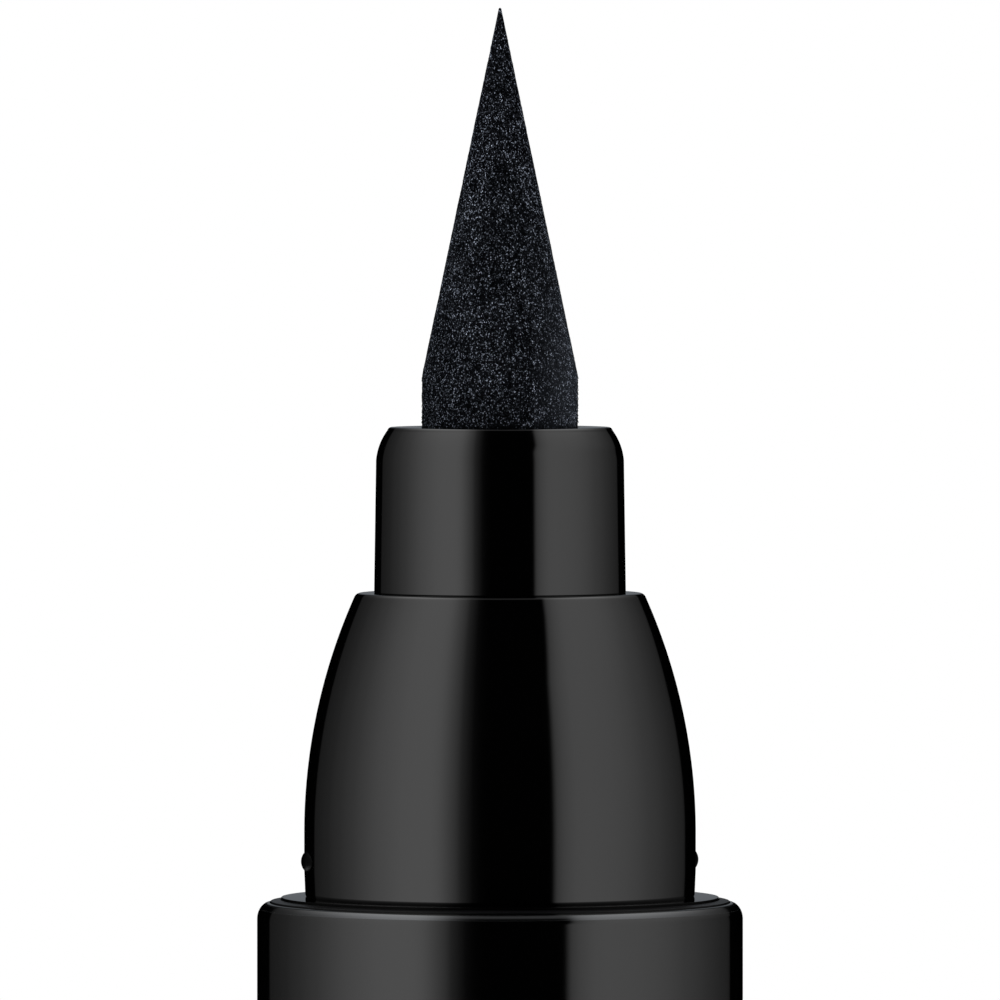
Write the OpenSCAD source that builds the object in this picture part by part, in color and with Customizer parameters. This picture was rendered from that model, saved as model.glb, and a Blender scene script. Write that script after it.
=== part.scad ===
// Liquid eyeliner pen with a felt nib, a comb ink feed and its cap posted on the tail.
// Lengths are in millimetres. The pen stands upright, tip up, with +Z along its axis,
// and the origin is the middle of the cap's closed end, on which it rests.

/* [Felt nib] */
// Diameter of the nib's straight part
nib_d = 3.21; // [2.8:0.01:3.5]
// Length of the nib that stands out of its holder
nib_out = 8.62; // [6:0.01:10]
// Length of the straight part above the holder
nib_straight = 1.06; // [0.4:0.01:2]
// Radius of the rounded point
nib_point_r = 0.03; // [0.02:0.01:0.3]
// Length of the nib held inside the holder
nib_held = 7.4; // [6:0.1:7.8]
// Small bevel on the nib's hidden end
nib_end_bevel = 0.15; // [0.05:0.01:0.3]

/* [Nib holder] */
// Height of the collar that shows above the dome
collar_h = 3.41; // [2.5:0.01:4.5]
// Diameter of the collar where the dome begins
collar_base_d = 5.18; // [5:0.01:5.4]
// Diameter of the collar at the foot of its bevel
collar_d = 5.1; // [4.9:0.01:5.3]
// Diameter of the collar's top face
collar_top_d = 4.5; // [4.2:0.01:4.8]
// Height of the bevel round the collar's top
collar_bevel_h = 0.68; // [0.3:0.01:1]
// How far the bevel bulges out of a straight cone
collar_bevel_bulge = 0.045; // [0.01:0.005:0.08]
// Wall of the stem outside the air channels
stem_wall = 0.37; // [0.3:0.01:0.5]
// Length of the stem below the dome's top
stem_len = 5.5; // [5:0.1:5.6]
// Number of air channels along the holder's bore
channel_count = 4; // [2:1:6]
// Width of an air channel
channel_w = 0.5; // [0.3:0.01:0.8]
// Depth of an air channel beyond the bore
channel_depth = 0.22; // [0.1:0.01:0.25]
// Length of plain bore above the channels
channel_recess = 1; // [0.5:0.1:2]
// Height of the ledge under the nib's end
nib_ledge_h = 0.55; // [0.3:0.01:0.6]
// How far the bead on the stem stands proud
stem_bead = 0.12; // [0.05:0.01:0.2]

/* [Front section] */
// Height of the dome above the shoulder
dome_h = 6.25; // [5.9:0.01:7]
// Largest diameter of the dome
dome_d = 8.06; // [7.9:0.01:8.2]
// Radius of the arc that draws the dome's side
dome_arc_r = 11.94; // [11:0.01:14]
// Height of the dome's straight foot
dome_foot_h = 1.31; // [1:0.01:1.5]
// Radius of the dome's top edge
dome_edge_r = 0.14; // [0.05:0.01:0.3]
// How far the foot is drawn in below the nubs
foot_relief = 0.05; // [0.01:0.01:0.06]
// How far a snap nub stands proud of the dome
nub_proud = 0.12; // [0.05:0.01:0.13]
// Height of a snap nub
nub_h = 0.43; // [0.3:0.01:0.6]
// Height of the nubs' middle above the shoulder
nub_up = 0.78; // [0.55:0.01:0.95]
// Angle by which the pair of nubs is turned from the X axis
nub_turn = 9; // [0:1:45]
// Thickness of the flange
flange_h = 1.1; // [0.8:0.1:2]
// Fall of the flange's top towards its edge
flange_fall = 0.01; // [0.01:0.01:0.06]
// Length of the tube below the shoulder that fits in the tank
tube_len = 8.9; // [7:0.1:12]
// Wall of that tube
tube_wall = 1; // [0.8:0.1:1.1]
// Height of the chamber above the shoulder
chamber_up = 2.6; // [2:0.1:2.8]

/* [O-ring] */
// Thickness of the O-ring
oring_t = 0.5; // [0.4:0.01:0.6]
// Distance of the O-ring's middle from the end of the tube
oring_up = 2; // [1:0.1:3]

/* [Ink tank] */
// Wall of the tank
tank_wall = 0.8; // [0.7:0.01:0.9]
// Wall of the lip round the flange
lip_wall = 0.2; // [0.15:0.01:0.3]
// Depth of the lip's top below the dome's foot
lip_drop = 0.06; // [0.04:0.01:0.15]
// Fall of the lip's top towards its outer edge
lip_fall = 0.03; // [0.01:0.01:0.08]

/* [Outer barrel] */
// Outer diameter of the barrel and the cap
barrel_d = 10; // [9.96:0.01:10.4]
// Length from the tail plug's flange to the shoulder
barrel_len = 86.7; // [75:0.1:120]
// Wall of the barrel's sleeve and of the cap's shell
sleeve_wall = 0.26; // [0.2:0.01:0.28]
// Depth of the sleeve's rim below the dome's foot
rim_drop = 0.12; // [0.1:0.01:0.3]

/* [Ink feed] */
// Diameter of the relay wick
wick_d = 1.6; // [1.2:0.1:1.7]
// Length of the wick inside the nib
wick_in_nib = 3; // [2:0.1:5]
// Length of the wick that stands in the tank
wick_in_tank = 3; // [2:0.1:6]
// Number of fins on the comb
fin_count = 30; // [12:1:36]
// Thickness of a fin
fin_t = 0.35; // [0.25:0.01:0.45]
// Gap between the two fins nearest the nib
fin_gap_front = 0.3; // [0.2:0.01:0.4]
// Gap between the two fins nearest the tank
fin_gap_rear = 0.5; // [0.4:0.01:0.6]
// Diameter of the comb's core
core_d = 3.2; // [3:0.1:3.6]
// Width of the air slot through the fins
air_slot_w = 1.2; // [0.8:0.1:1.6]
// Width of the ink slit through the fins
ink_slit_w = 0.15; // [0.1:0.01:0.3]
// Room between the comb's journal and the holder's stem
journal_room = 0.4; // [0.2:0.1:1]
// Depth of the two air flats on the journal
journal_flat = 0.35; // [0.2:0.01:0.5]

/* [Ball seat] */
// Height of the ball seat
seat_h = 5; // [4:0.1:8]
// Thickness of the seat under the comb's rear stem
seat_floor_h = 0.8; // [0.6:0.1:2]
// Number of sealing ribs round it
seat_ribs = 3; // [2:1:4]
// Diameter of the seat's mouth on the tank's side
seat_mouth_d = 4.4; // [4.2:0.1:5]

/* [Mixing ball] */
// Diameter of the ball
ball_d = 2.5; // [2:0.1:2.6]

/* [Tail plug] */
// Height of the flange between barrel and cap
tail_flange_h = 1.2; // [0.8:0.1:3]
// Length of the plug inside the tank
plug_len = 6; // [4:0.1:8]
// Room between the end of the posting spigot and the cap's ledge
spigot_room = 0.25; // [0.15:0.01:0.5]
// Radius of the spigot's edge
spigot_edge_r = 0.5; // [0.2:0.1:0.8]
// Wall of the spigot
spigot_wall = 1.3; // [1:0.1:2]
// Thickness of the plug's closed end
plug_floor_h = 1.2; // [0.8:0.1:2]
// Number of sealing ribs round the plug
plug_ribs = 3; // [2:1:4]

/* [Cap] */
// Length of the cap
cap_len = 36; // [34:0.1:50]
// Thickness of the shell's closed end
cap_end_t = 0.5; // [0.3:0.1:1]
// Radius of the shell's end edge
cap_edge_r = 0.4; // [0.3:0.01:0.45]
// Height of the ledge that stops the inner cap
ledge_h = 0.6; // [0.5:0.01:0.8]
// How far the ledge stands into the liner's bore
ledge_in = 0.38; // [0.3:0.01:0.45]
// Wall of the liner
liner_wall = 0.46; // [0.4:0.01:0.5]
// Depth of the groove in which the snap nubs sit
snap_groove = 0.08; // [0.04:0.01:0.09]
// Height of that groove
snap_groove_h = 0.5; // [0.45:0.01:0.55]

/* [Inner cap] */
// Height of the inner cap's collar
inner_flange_h = 1.5; // [1:0.1:2]
// Thickness of the inner cap's wall
inner_wall = 0.6; // [0.5:0.01:0.65]
// Room all round the nib inside the inner cap
nib_side_room = 0.5; // [0.3:0.1:0.7]
// Room past the nib's point when the cap is closed
nib_room = 1; // [0.6:0.1:2]
// How far closing the cap over the nib presses the inner cap back
inner_press = 1.1; // [0.8:0.1:1.3]
// Number of guide fins along the inner cap
guide_fins = 4; // [3:1:6]
// Thickness of a guide fin
guide_fin_t = 0.6; // [0.4:0.1:1]
// Length of a guide fin
guide_fin_len = 8; // [4:0.1:9]
// Height of the boss that centres the spring
boss_h = 1.5; // [1:0.1:2]

/* [Spring] */
// Thickness of the spring's wire
wire_t = 0.4; // [0.3:0.01:0.5]
// Outer diameter of the spring
spring_d = 5.2; // [5:0.1:5.3]
// Number of turns
spring_turns = 10; // [5:1:12]

/* [Spring seat] */
// Thickness of the plug that closes the liner
spring_seat_h = 1.5; // [1:0.1:2.5]

/* [Fits] */
// Gap between fixed pieces that are pressed or slid together
fit_gap = 0.02; // [0.01:0.005:0.03]
// Gap round the inner cap and its seats, which move
run_gap = 0.08; // [0.05:0.01:0.1]
// Seam between the cap's mouth and the tail plug
cap_seam = 0.15; // [0.1:0.01:0.2]
// Distance between pieces that only lie against each other
rest_gap = 0.05; // [0.03:0.01:0.1]
// Bevel on the ends of plugs and tubes
lead_in = 0.2; // [0.1:0.01:0.25]
// Radius of a sealing rib
seal_rib_r = 0.2; // [0.1:0.01:0.3]
// How far a sealing rib stands proud of its plug
rib_proud = 0.1; // [0.05:0.01:0.2]
// Small bevel on the edges that show
edge_bevel = 0.1; // [0.05:0.01:0.2]

/* [Hidden] */
// Overrun of every cut past the face that it leaves
cut = 1;
// Smoothness of round shapes
$fn = 96;
// The ledge under the nib: the share of the step from wick to nib that it leaves open
ledge_bore_share = 1 / 3;
// The collar's rounded top corner, as a share of its bevel, and how far that bulges
collar_corner_share = 0.1;
corner_bulge_share = 0.2;
// Height of the stem's bead
bead_h = 4 * stem_bead;
// The bevel inside the cap's mouth, as a share of the wall there
mouth_bevel_share = 0.1;
// Points along a drawn arc
arc_steps = 12;
long_arc_steps = 28;
small_arc_steps = 4;
rib_fn = 24;
ring_fn = 32;
ball_fn = 48;
full_turn = 360;
half_turn = full_turn / 2;
// Rings of points along one turn of the spring's wire, and points round each
rings_per_turn = 8;
wire_sides = 6;

// Radii
nib_r = nib_d / 2;
stem_r = nib_r + channel_depth + stem_wall;
dome_r = dome_d / 2;
barrel_r = barrel_d / 2;
sleeve_bore_r = barrel_r - sleeve_wall;
tank_r = sleeve_bore_r - fit_gap;
tank_bore_r = tank_r - tank_wall;
lip_bore_r = tank_r - lip_wall;
flange_r = lip_bore_r - fit_gap;
wick_r = wick_d / 2;
wick_bore_r = wick_r + run_gap;
core_r = core_d / 2;
ball_r = ball_d / 2;
nose_r = (core_r + wick_bore_r) / 2;
mouth_r = dome_r + nub_proud + rest_gap;
liner_r = sleeve_bore_r - fit_gap;
guide_r = liner_r - liner_wall;
ledge_r = guide_r - ledge_in;
inner_bore_r = collar_base_d / 2 + run_gap;
inner_nib_bore_r = nib_r + nib_side_room;
inner_flange_r = guide_r - run_gap;
inner_end_r = inner_nib_bore_r + inner_wall;
wire_r = wire_t / 2;
coil_r = spring_d / 2 - wire_r;
coil_bore_r = (coil_r - wire_r) * cos(half_turn / rings_per_turn);
boss_r = coil_bore_r - run_gap;
in_tank_r = tank_bore_r - fit_gap;
tube_bore_r = in_tank_r - tube_wall;
in_tube_r = tube_bore_r - fit_gap;

// Heights, from the cap's closed end up to the nib's point. Closed over the nib, the cap's rim
// comes as near the shoulder as it comes to the tail plug here, and the dome presses the
// inner cap back
tail_z = cap_len + cap_seam;
inner_top_z = tail_z - dome_h + inner_press;
ledge_z = inner_top_z + rest_gap;
spigot_end_z = ledge_z + ledge_h + spigot_room;
barrel_z = tail_z + tail_flange_h;
plug_top_z = barrel_z + plug_len;
shoulder_z = barrel_z + barrel_len;
dome_top_z = shoulder_z + dome_h;
collar_top_z = dome_top_z + collar_h;
tip_z = collar_top_z + nib_out;

nib_end_z = collar_top_z - nib_held;
stem_end_z = dome_top_z - stem_len;
chamber_z = shoulder_z + chamber_up;
tube_end_z = shoulder_z - tube_len;

// The comb hangs below the front section's tube
journal_z = stem_end_z - journal_room;
nose_top_z = nib_end_z - nib_ledge_h - rest_gap;
fins_z = tube_end_z - fit_gap;
fin_gap_growth = (fin_gap_rear - fin_gap_front) / max(fin_count - 2, 1);
function fin_top(i) = fins_z - i * (fin_t + fin_gap_front) - fin_gap_growth * i * (i - 1) / 2;
comb_end_z = fin_top(fin_count - 1) - fin_t;
seat_top_z = comb_end_z - fit_gap;
seat_end_z = seat_top_z - seat_h;
comb_stem_z = seat_end_z + seat_floor_h + fit_gap;
wick_end_z = seat_end_z - wick_in_tank;
wick_top_z = nib_end_z + wick_in_nib;

// The ball lies at the tank's wall, clear of the wick's end
ball_x = tank_bore_r - ball_r - rest_gap;
ball_z = plug_top_z + ball_r + rest_gap;
ball_travel = seat_end_z - plug_top_z - ball_d - 2 * rest_gap;

// The cap
inner_step_z = inner_top_z - collar_h - inner_wall;
inner_floor_z = inner_top_z - collar_h - nib_out - nib_room;
inner_end_z = inner_floor_z - inner_wall;
spring_seat_z = cap_end_t + rest_gap;
spring_low_z = spring_seat_z + spring_seat_h + rest_gap;
spring_high_z = inner_end_z - rest_gap;

// Figures for a reader: the ball's travel, and the coil's clear gap between two turns
spring_pitch = (spring_high_z - spring_low_z - 2 * wire_t) / spring_turns;
echo(ball_travel = ball_travel, shoulder_z = shoulder_z, tip_z = tip_z);
echo(spring_gap = spring_pitch - wire_t, spring_low_z = spring_low_z);

// Points of an arc about a middle, from one angle to another
function arc(middle, r, from, to, steps) =
    [
        for (i = [0:steps])
            let (a = from + (to - from) * i / steps)
            middle + r * [cos(a), sin(a)]
    ];

// Points of a shallow arc from one point to another that bulges to the right of the way
function bulge(a, b, rise, steps) =
    let (
        chord = norm(b - a),
        r = (chord * chord / 4 + rise * rise) / (2 * rise),
        side = [b[1] - a[1], a[0] - b[0]] / chord,
        middle = (a + b) / 2 - side * (r - rise),
        from = atan2(a[1] - middle[1], a[0] - middle[0]),
        to = atan2(b[1] - middle[1], b[0] - middle[0]),
        swing = to - from,
        turn = swing > half_turn ? swing - full_turn : swing < -half_turn ? swing + full_turn : swing
    )
    arc(middle, r, from, from + turn, steps);

// A solid turned from an outline of radius and height
module turned(outline) {
    rotate_extrude() polygon(outline);
}

// A round bore between two heights
module bore(r, low, high) {
    translate([0, 0, low]) cylinder(r = r, h = high - low);
}

// Half-round beads round a plug, spread over a length, which touch the tank's wall
module sealing_ribs(count, r, low, high) {
    pitch = (high - low) / (count + 1);
    for (i = [1:count])
        translate([0, 0, low + i * pitch])
            rotate_extrude() translate([r - seal_rib_r, 0]) circle(r = seal_rib_r, $fn = rib_fn);
}

// A pair of round snap nubs on a wall, at opposite sides
module snap_nubs(wall_r, z) {
    nub_r = (nub_h * nub_h / 4 + nub_proud * nub_proud) / (2 * nub_proud);
    for (side = [0, 1])
        rotate(nub_turn + side * half_turn) translate([wall_r + nub_proud - nub_r, 0, z])
            sphere(r = nub_r, $fn = ring_fn);
}

// A pointed felt nib whose hidden end takes the wick
module felt_nib() {
    cone_z = collar_top_z + nib_straight;
    point_z = tip_z - nib_point_r;
    rise = point_z - cone_z;
    slope = atan(nib_r / rise) - asin(nib_point_r / norm([nib_r, rise]));
    hole_r = wick_r + fit_gap;
    color("#15171b") difference() {
        turned(concat(
            [[0, nib_end_z], [nib_r - nib_end_bevel, nib_end_z]],
            [[nib_r, nib_end_z + nib_end_bevel], [nib_r, cone_z]],
            arc([0, point_z], nib_point_r, slope, 90, arc_steps)
        ));
        bore(hole_r, nib_end_z - cut, wick_top_z + fit_gap);
    }
}

// The collar round the nib and the stem that holds it in the front section
module nib_holder() {
    bore_r = nib_r + fit_gap;
    ledge_bore_r = wick_bore_r + (nib_r - wick_bore_r) * ledge_bore_share;
    bevel_z = collar_top_z - collar_bevel_h;
    corner = collar_bevel_h * collar_corner_share;
    bead_z = chamber_z - fit_gap;
    bead_end_z = bead_z - bead_h;
    top = [collar_top_d / 2, collar_top_z];
    shelf = [collar_top_d / 2 + corner, collar_top_z - corner];
    foot = [collar_d / 2, bevel_z];
    color("#101012") difference() {
        turned(concat(
            [[0, stem_end_z], [stem_r - lead_in, stem_end_z]],
            [[stem_r, stem_end_z + lead_in], [stem_r, bead_end_z]],
            [[stem_r + stem_bead, bead_z - stem_bead], [stem_r + stem_bead, bead_z], [stem_r, bead_z]],
            [[stem_r, dome_top_z], [collar_base_d / 2, dome_top_z]],
            bulge(foot, shelf, collar_bevel_bulge, arc_steps),
            bulge(shelf, top, corner * corner_bulge_share, small_arc_steps),
            [[0, collar_top_z]]
        ));
        bore(bore_r, nib_end_z, collar_top_z + cut);
        bore(ledge_bore_r, stem_end_z - cut, nib_end_z + cut);
        bore(nose_r + fit_gap, stem_end_z - cut, nib_end_z - nib_ledge_h);
        for (i = [0:channel_count - 1])
            rotate(i * full_turn / channel_count) translate([0, -channel_w / 2, stem_end_z - cut])
                cube([nib_r + channel_depth, channel_w, collar_top_z - channel_recess - stem_end_z + cut]);
    }
}

// The domed section on which the cap closes, with its flange and the tube below it
module front_section() {
    arc_z = shoulder_z + dome_foot_h;
    arc_middle = [dome_r - dome_arc_r, arc_z];
    top_angle = asin((dome_h - dome_foot_h - dome_edge_r) / (dome_arc_r - dome_edge_r));
    edge_middle = arc_middle + (dome_arc_r - dome_edge_r) * [cos(top_angle), sin(top_angle)];
    relief_z = shoulder_z + nub_up - nub_h / 2;
    groove_r = in_tank_r - oring_t;
    oring_z = tube_end_z + oring_up;
    groove_h = oring_t + 2 * run_gap;
    flange_w = flange_r - dome_r;
    flange_arc_r = (flange_w * flange_w + flange_fall * flange_fall) / (2 * flange_fall);
    flange_angle = asin(flange_w / flange_arc_r);
    color("#101012") difference() {
        union() {
            turned(concat(
                [[0, tube_end_z], [in_tank_r - lead_in, tube_end_z], [in_tank_r, tube_end_z + lead_in]],
                [[in_tank_r, oring_z - groove_h / 2], [groove_r, oring_z - groove_h / 2]],
                [[groove_r, oring_z + groove_h / 2], [in_tank_r, oring_z + groove_h / 2]],
                [[in_tank_r, shoulder_z - flange_h], [flange_r, shoulder_z - flange_h]],
                arc([dome_r, shoulder_z - flange_arc_r], flange_arc_r, 90 - flange_angle, 90, arc_steps),
                [[dome_r - foot_relief, shoulder_z], [dome_r, relief_z]],
                arc(arc_middle, dome_arc_r, 0, top_angle, long_arc_steps),
                arc(edge_middle, dome_edge_r, top_angle, 90, arc_steps),
                [[0, dome_top_z]]
            ));
            snap_nubs(dome_r, shoulder_z + nub_up);
        }
        bore(stem_r + fit_gap, chamber_z - cut, dome_top_z + cut);
        bore(tube_bore_r, tube_end_z - cut, chamber_z);
    }
}

// The O-ring in the tube's groove
module front_oring() {
    ring_r = (oring_t - fit_gap) / 2;
    color("#202022") translate([0, 0, tube_end_z + oring_up])
        rotate_extrude() translate([in_tank_r - oring_t + fit_gap + ring_r, 0]) circle(r = ring_r, $fn = ring_fn);
}

// The fibre rod from the tank into the nib
module relay_wick() {
    color("#1b1c20") turned([
        [0, wick_end_z], [wick_r - lead_in, wick_end_z], [wick_r, wick_end_z + lead_in],
        [wick_r, wick_top_z - lead_in], [wick_r - lead_in, wick_top_z], [0, wick_top_z]
    ]);
}

// The comb of thin fins, with its air slot, its ink slit and the bore for the wick
module ink_collector() {
    fin_r = tank_bore_r - run_gap;
    fins = [
        for (i = [fin_count - 1:-1:0])
            let (top = fin_top(i), low = top - fin_t)
            each [[core_r, low], [fin_r, low], [fin_r, top], [core_r, top]]
    ];
    color("#d8dadc") difference() {
        turned(concat(
            [[0, comb_stem_z], [core_r - lead_in, comb_stem_z], [core_r, comb_stem_z + lead_in]],
            fins,
            [[core_r, tube_end_z + lead_in], [in_tube_r - lead_in, tube_end_z + lead_in]],
            [[in_tube_r, tube_end_z + 2 * lead_in], [in_tube_r, journal_z - lead_in]],
            [[in_tube_r - lead_in, journal_z]],
            [[nose_r, journal_z], [nose_r, nose_top_z], [0, nose_top_z]]
        ));
        bore(wick_bore_r, comb_stem_z - cut, nose_top_z + cut);
        translate([core_r, -air_slot_w / 2, comb_end_z + fin_t])
            cube([fin_r - core_r + cut, air_slot_w, fins_z - comb_end_z - fin_t + fit_gap]);
        translate([-fin_r - cut, -ink_slit_w / 2, comb_end_z + fin_t])
            cube([fin_r + cut, ink_slit_w, fins_z - comb_end_z - 2 * fin_t]);
        for (side = [0, 1])
            rotate(side * half_turn) translate([in_tube_r - journal_flat, -in_tube_r, tube_end_z])
                cube([journal_flat + cut, 2 * in_tube_r, journal_z - tube_end_z + cut]);
    }
}

// The bush that parts the comb from the tank, with a tapered mouth for the ball
module ball_seat() {
    body_r = in_tank_r - rib_proud;
    floor_z = comb_stem_z - fit_gap;
    color("#e4e6e8") difference() {
        union() {
            turned([
                [0, seat_end_z], [body_r - lead_in, seat_end_z], [body_r, seat_end_z + lead_in],
                [body_r, seat_top_z - lead_in], [body_r - lead_in, seat_top_z], [0, seat_top_z]
            ]);
            sealing_ribs(seat_ribs, in_tank_r, seat_end_z, seat_top_z);
        }
        bore(core_r + fit_gap, floor_z, seat_top_z + cut);
        bore(wick_bore_r, seat_end_z - cut, floor_z + cut);
        translate([0, 0, seat_end_z])
            cylinder(r1 = seat_mouth_d / 2, r2 = wick_bore_r, h = floor_z - seat_end_z - lead_in);
    }
}

// The inner tube that holds the ink, with a thin lip round the front section's flange
module ink_tank() {
    lip_z = shoulder_z - lip_drop;
    ledge_top_z = shoulder_z - flange_h - fit_gap;
    color("#26272b") turned([
        [tank_bore_r, barrel_z], [tank_r, barrel_z], [tank_r, lip_z - lip_fall],
        [lip_bore_r, lip_z], [lip_bore_r, ledge_top_z], [tank_bore_r, ledge_top_z]
    ]);
}

// The glossy sleeve with its rounded rim
module outer_barrel() {
    rim_z = shoulder_z - rim_drop;
    color("#0d0d0f") turned(concat(
        [[sleeve_bore_r, barrel_z], [barrel_r, barrel_z]],
        arc([sleeve_bore_r, rim_z - sleeve_wall], sleeve_wall, 0, 90, arc_steps)
    ));
}

// The steel ball that stirs the ink
module mixing_ball() {
    color("silver") translate([ball_x, 0, ball_z]) sphere(r = ball_r, $fn = ball_fn);
}

// The plug that closes the tank, its flange, and the spigot on which the cap posts
module tail_plug() {
    plug_r = in_tank_r - rib_proud;
    edge_z = spigot_end_z + spigot_edge_r;
    color("#101012") difference() {
        union() {
            turned(concat(
                [[0, spigot_end_z]],
                arc([dome_r - foot_relief - spigot_edge_r, edge_z], spigot_edge_r, -90, 0, arc_steps),
                [[dome_r - foot_relief, tail_z], [barrel_r - edge_bevel, tail_z]],
                [[barrel_r, tail_z + edge_bevel], [barrel_r, barrel_z]],
                [[plug_r, barrel_z], [plug_r, plug_top_z - lead_in]],
                [[plug_r - lead_in, plug_top_z], [0, plug_top_z]]
            ));
            sealing_ribs(plug_ribs, in_tank_r, barrel_z, plug_top_z);
            snap_nubs(dome_r, tail_z - nub_up);
        }
        bore(dome_r - spigot_wall, spigot_end_z - cut, plug_top_z - plug_floor_h);
    }
}

// The cap's outer sleeve with its closed end
module cap_shell() {
    rim_r = sleeve_wall / 2;
    color("#0d0d0f") turned(concat(
        [[0, 0]],
        arc([barrel_r - cap_edge_r, cap_edge_r], cap_edge_r, -90, 0, arc_steps),
        arc([barrel_r - rim_r, cap_len - rim_r], rim_r, 0, 180, arc_steps),
        [[sleeve_bore_r, cap_end_t], [0, cap_end_t]]
    ));
}

// The moulded tube inside the cap: mouth, snap groove, ledge and guide bore
module cap_liner() {
    groove_z = tail_z - nub_up - snap_groove_h / 2;
    groove_top_z = groove_z + snap_groove_h;
    groove_r = mouth_r + snap_groove;
    mouth_z = cap_len - sleeve_wall / 2;
    mouth_bevel = (liner_r - mouth_r) * mouth_bevel_share;
    ledge_top_z = ledge_z + ledge_h;
    color("#17171a") turned([
        [guide_r, spring_seat_z], [liner_r, spring_seat_z], [liner_r, mouth_z],
        [mouth_r + mouth_bevel, mouth_z], [mouth_r, mouth_z - mouth_bevel],
        [mouth_r, groove_top_z], [groove_r, groove_top_z - snap_groove], [groove_r, groove_z + snap_groove],
        [mouth_r, groove_z], [mouth_r, ledge_top_z], [ledge_r + lead_in, ledge_top_z],
        [ledge_r, ledge_top_z - lead_in], [ledge_r, ledge_z], [guide_r, ledge_z]
    ]);
}

// The airtight cap round the nib and its holder, with guide fins and a boss for the spring
module inner_cap() {
    body_r = inner_bore_r + inner_wall;
    flange_low_z = inner_top_z - inner_flange_h;
    color("#e9e9e6") difference() {
        union() {
            turned([
                [0, inner_end_z - boss_h], [boss_r - lead_in, inner_end_z - boss_h],
                [boss_r, inner_end_z - boss_h + lead_in], [boss_r, inner_end_z],
                [inner_end_r, inner_end_z], [inner_end_r, inner_step_z - inner_wall], [body_r, inner_step_z],
                [body_r, flange_low_z], [inner_flange_r, flange_low_z], [inner_flange_r, inner_top_z - lead_in],
                [inner_flange_r - lead_in, inner_top_z], [0, inner_top_z]
            ]);
            intersection() {
                bore(inner_flange_r, inner_top_z - guide_fin_len, flange_low_z + lead_in);
                for (i = [0:guide_fins - 1])
                    rotate(i * full_turn / guide_fins)
                        translate([inner_nib_bore_r + inner_wall / 2, -guide_fin_t / 2, 0])
                            cube([inner_flange_r, guide_fin_t, inner_top_z]);
            }
        }
        turned([
            [0, inner_floor_z], [inner_nib_bore_r, inner_floor_z], [inner_nib_bore_r, inner_step_z],
            [inner_bore_r, inner_step_z + inner_wall], [inner_bore_r, inner_top_z - lead_in],
            [inner_bore_r + lead_in + cut, inner_top_z + cut], [0, inner_top_z + cut]
        ]);
    }
}

// The coil spring behind the inner cap: one round wire swept along its helix, straight at both ends
module cap_spring() {
    rings = spring_turns * rings_per_turn;
    turn_low_z = spring_low_z + wire_t;
    climb = atan2(spring_pitch, 2 * PI * coil_r);

    // Points round the wire where it has turned by angle a and its middle is at height z, tilted from level
    function wire_ring(a, z, tilt) = [
        for (s = [0:wire_sides - 1])
            let (
                t = s * full_turn / wire_sides,
                reach = coil_r + wire_r * cos(t),
                up = wire_r * sin(t)
            )
            [
                reach * cos(a) + up * sin(tilt) * sin(a),
                reach * sin(a) - up * sin(tilt) * cos(a),
                z + up * cos(tilt)
            ]
    ];
    path = concat(
        [wire_ring(0, spring_low_z, 90)],
        [
            for (i = [0:rings])
                wire_ring(i * full_turn / rings_per_turn, turn_low_z + i * spring_pitch / rings_per_turn, climb)
        ],
        [wire_ring(spring_turns * full_turn, spring_high_z, 90)]
    );
    last = len(path) - 1;
    faces = concat(
        [for (i = [0:last - 1], s = [0:wire_sides - 1])
            let (here = i * wire_sides, above = here + wire_sides, next = (s + 1) % wire_sides)
            each [[here + s, here + next, above + next], [here + s, above + next, above + s]]],
        [for (s = [1:wire_sides - 2]) [0, s + 1, s]],
        [for (s = [1:wire_sides - 2]) [last * wire_sides, last * wire_sides + s, last * wire_sides + s + 1]]
    );
    color("silver") polyhedron(points = [for (ring = path) each ring], faces = faces, convexity = spring_turns);
}

// The plug behind the spring
module spring_seat() {
    seat_r = guide_r - fit_gap;
    top_z = spring_seat_z + spring_seat_h;
    color("#e4e6e8") turned([
        [0, spring_seat_z], [seat_r - lead_in, spring_seat_z], [seat_r, spring_seat_z + lead_in],
        [seat_r, top_z - lead_in], [seat_r - lead_in, top_z], [boss_r, top_z],
        [boss_r, top_z + boss_h - lead_in], [boss_r - lead_in, top_z + boss_h], [0, top_z + boss_h]
    ]);
}

felt_nib();
nib_holder();
front_section();
front_oring();
relay_wick();
ink_collector();
ball_seat();
ink_tank();
outer_barrel();
mixing_ball();
tail_plug();
cap_shell();
cap_liner();
inner_cap();
cap_spring();
spring_seat();
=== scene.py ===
import math
import random

import bmesh
import bpy
from mathutils import Matrix, Vector, noise


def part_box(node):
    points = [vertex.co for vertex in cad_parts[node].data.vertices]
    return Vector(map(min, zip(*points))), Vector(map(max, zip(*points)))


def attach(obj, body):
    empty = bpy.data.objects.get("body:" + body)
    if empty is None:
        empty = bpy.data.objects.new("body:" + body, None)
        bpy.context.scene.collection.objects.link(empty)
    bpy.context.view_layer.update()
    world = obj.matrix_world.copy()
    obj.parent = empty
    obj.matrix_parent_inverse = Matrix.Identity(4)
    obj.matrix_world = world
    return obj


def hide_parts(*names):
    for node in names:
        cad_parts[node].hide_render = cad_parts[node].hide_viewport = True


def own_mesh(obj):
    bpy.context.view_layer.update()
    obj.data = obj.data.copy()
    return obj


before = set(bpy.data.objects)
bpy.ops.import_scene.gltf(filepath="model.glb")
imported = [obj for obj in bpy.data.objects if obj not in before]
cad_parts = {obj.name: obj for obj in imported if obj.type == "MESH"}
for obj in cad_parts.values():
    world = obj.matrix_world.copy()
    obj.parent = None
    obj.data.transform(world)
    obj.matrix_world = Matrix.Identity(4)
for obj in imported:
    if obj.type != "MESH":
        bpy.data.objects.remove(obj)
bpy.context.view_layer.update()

MM = 0.001
QUARTER = math.pi / 2
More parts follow.
